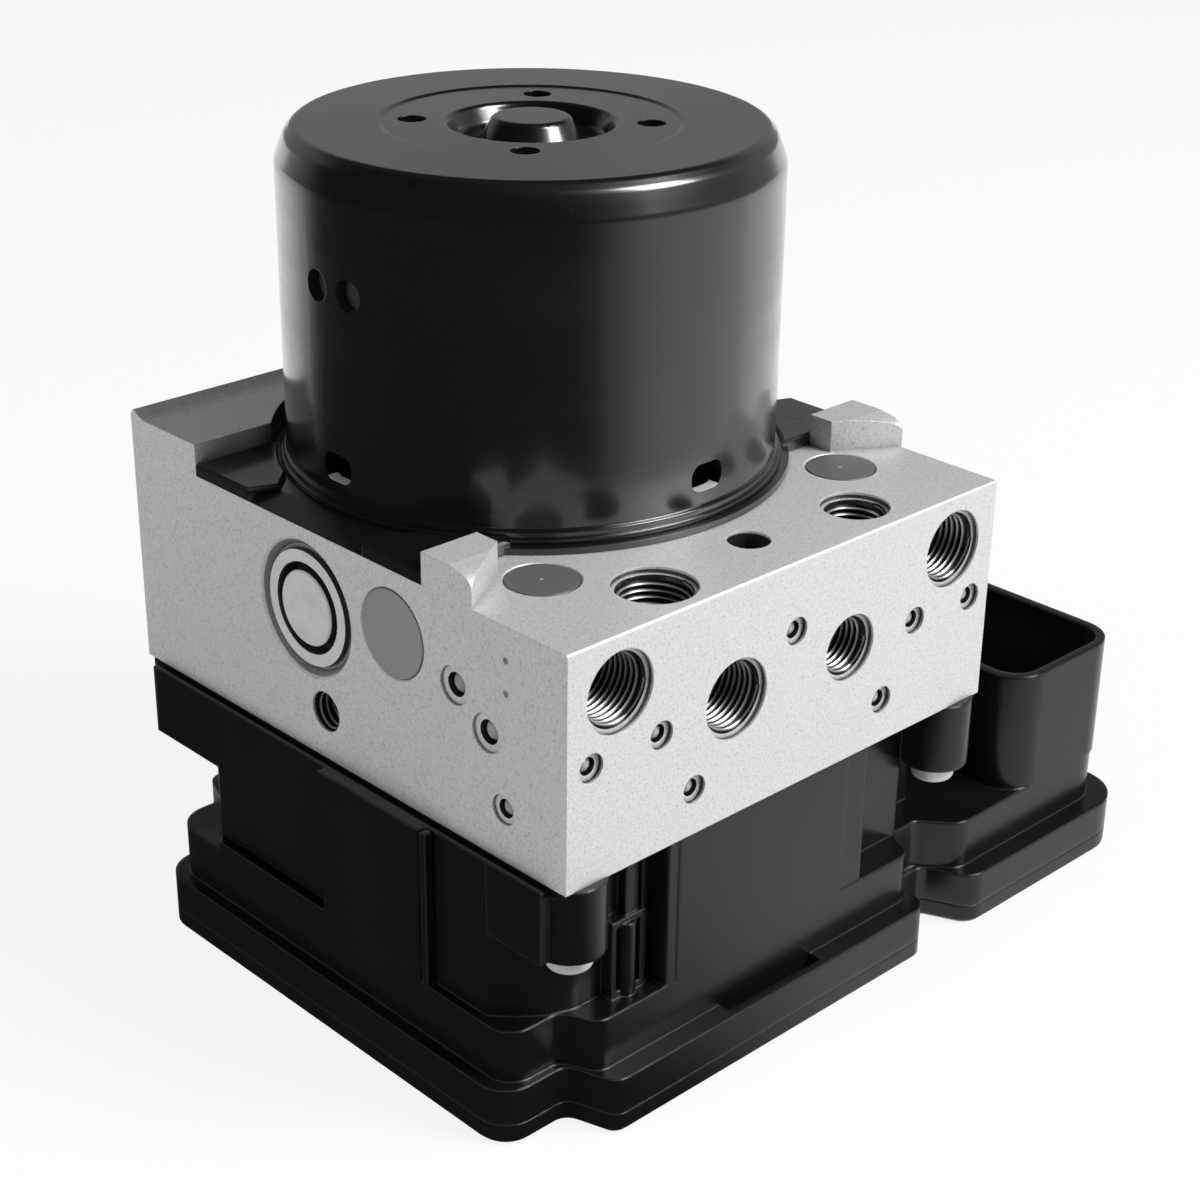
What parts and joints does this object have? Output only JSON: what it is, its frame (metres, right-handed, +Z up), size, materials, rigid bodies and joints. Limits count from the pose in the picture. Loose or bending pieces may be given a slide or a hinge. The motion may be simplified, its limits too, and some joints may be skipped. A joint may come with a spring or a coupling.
{
  "type": "anti-lock brake hydraulic unit",
  "caption": "Machined aluminium brake valve block with a round pump motor on top and a black control unit with connector shroud below.",
  "frame": {"origin": "on the underside of the control cover, on the motor shaft axis", "axes": "+Z up along the motor shaft, +X along the port face towards the connector, +Y from the port face to the back"},
  "size_m": [0.1505, 0.1106, 0.1427],
  "materials": {
    "block_aluminium": "bead-blasted, lightly speckled",
    "cap_aluminium": "dull pressed caps",
    "ball_steel": "staked balls and machined plugs",
    "motor_paint": "black gloss coat on drawn steel",
    "plate_paint": "black coat on pressed steel",
    "zinc_steel": "zinc-plated screws and bolts",
    "housing_plastic": "moulded black glass-filled plastic",
    "cover_plastic": "moulded black cover",
    "seal_rubber": "seal",
    "inner_steel": "ground steel",
    "core_iron": "stacked sheet iron",
    "magnet_ferrite": "ferrite",
    "copper": "copper",
    "carbon": "carbon",
    "insulator": "moulded insulator",
    "board_green": "circuit board",
    "chip_black": "component bodies",
    "pin_tin": "tin-plated contacts"
  },
  "bodies": {
    "unit": {"hydraulic_block": "block_aluminium", "port_face_ball_plugs": "ball_steel", "side_face_ball_plugs": "ball_steel", "side_channel_cap_left": "cap_aluminium", "side_channel_cap_right": "cap_aluminium", "top_channel_caps": "cap_aluminium", "pump_plug_left": "ball_steel", "pump_plug_right": "ball_steel", "pump_sleeve_left": "inner_steel", "pump_sleeve_right": "inner_steel", "pump_spring_left": "inner_steel", "pump_spring_right": "inner_steel", "accumulator_cap_left": "cap_aluminium", "accumulator_cap_right": "cap_aluminium", "accumulator_spring_left": "inner_steel", "accumulator_spring_right": "inner_steel", "motor_can": "motor_paint", "motor_flange_plate": "plate_paint", "flange_screws": "zinc_steel", "motor_magnets": "magnet_ferrite", "brush_holder": "insulator", "carbon_brushes": "carbon", "brush_springs": "inner_steel", "upper_bearing": "inner_steel", "lower_bearing": "inner_steel", "inlet_valves": "inner_steel", "outlet_valves": "inner_steel", "changeover_valves": "inner_steel", "solenoid_coils": "copper", "pressure_sensor": "inner_steel", "control_housing": "housing_plastic", "housing_gasket": "seal_rubber", "control_cover": "cover_plastic", "cover_seal": "seal_rubber", "circuit_board": "board_green", "processor_chip": "chip_black", "driver_chips": "chip_black", "board_capacitors": "chip_black", "connector_pins": "pin_tin", "motor_terminals": "pin_tin", "housing_bolts": "zinc_steel"},
    "rotor": {"motor_shaft": "inner_steel", "eccentric_bearing": "inner_steel", "armature_core": "core_iron", "armature_windings": "copper", "commutator": "copper"},
    "pump_piston_left": {"pump_piston_left": "inner_steel"},
    "pump_piston_right": {"pump_piston_right": "inner_steel"},
    "accumulator_left": {"accumulator_piston_left": "cap_aluminium"},
    "accumulator_right": {"accumulator_piston_right": "cap_aluminium"}
  },
  "joints": [
    {"name": "motor_spin", "type": "hinge", "parent": "unit", "child": "rotor", "pos_m": [0, 0, 0.11], "axis": [0, 0, 1], "continuous": true},
    {"name": "pump_stroke_left", "type": "slide", "parent": "unit", "child": "pump_piston_left", "axis": [-1, 0, 0], "range_m": [0, 0.0024], "stiffness_N_per_m": 1500, "springref_m": -0.004, "deforming": ["pump_spring_left"]},
    {"name": "pump_stroke_right", "type": "slide", "parent": "unit", "child": "pump_piston_right", "axis": [1, 0, 0], "range_m": [0, 0.0024], "stiffness_N_per_m": 1500, "springref_m": -0.004, "deforming": ["pump_spring_right"]},
    {"name": "accumulator_stroke_left", "type": "slide", "parent": "unit", "child": "accumulator_left", "axis": [0, 1, 0], "range_m": [0, 0.008], "stiffness_N_per_m": 1200, "springref_m": -0.003, "deforming": ["accumulator_spring_left"]},
    {"name": "accumulator_stroke_right", "type": "slide", "parent": "unit", "child": "accumulator_right", "axis": [0, 1, 0], "range_m": [0, 0.008], "stiffness_N_per_m": 1200, "springref_m": -0.003, "deforming": ["accumulator_spring_right"]}
  ]
}
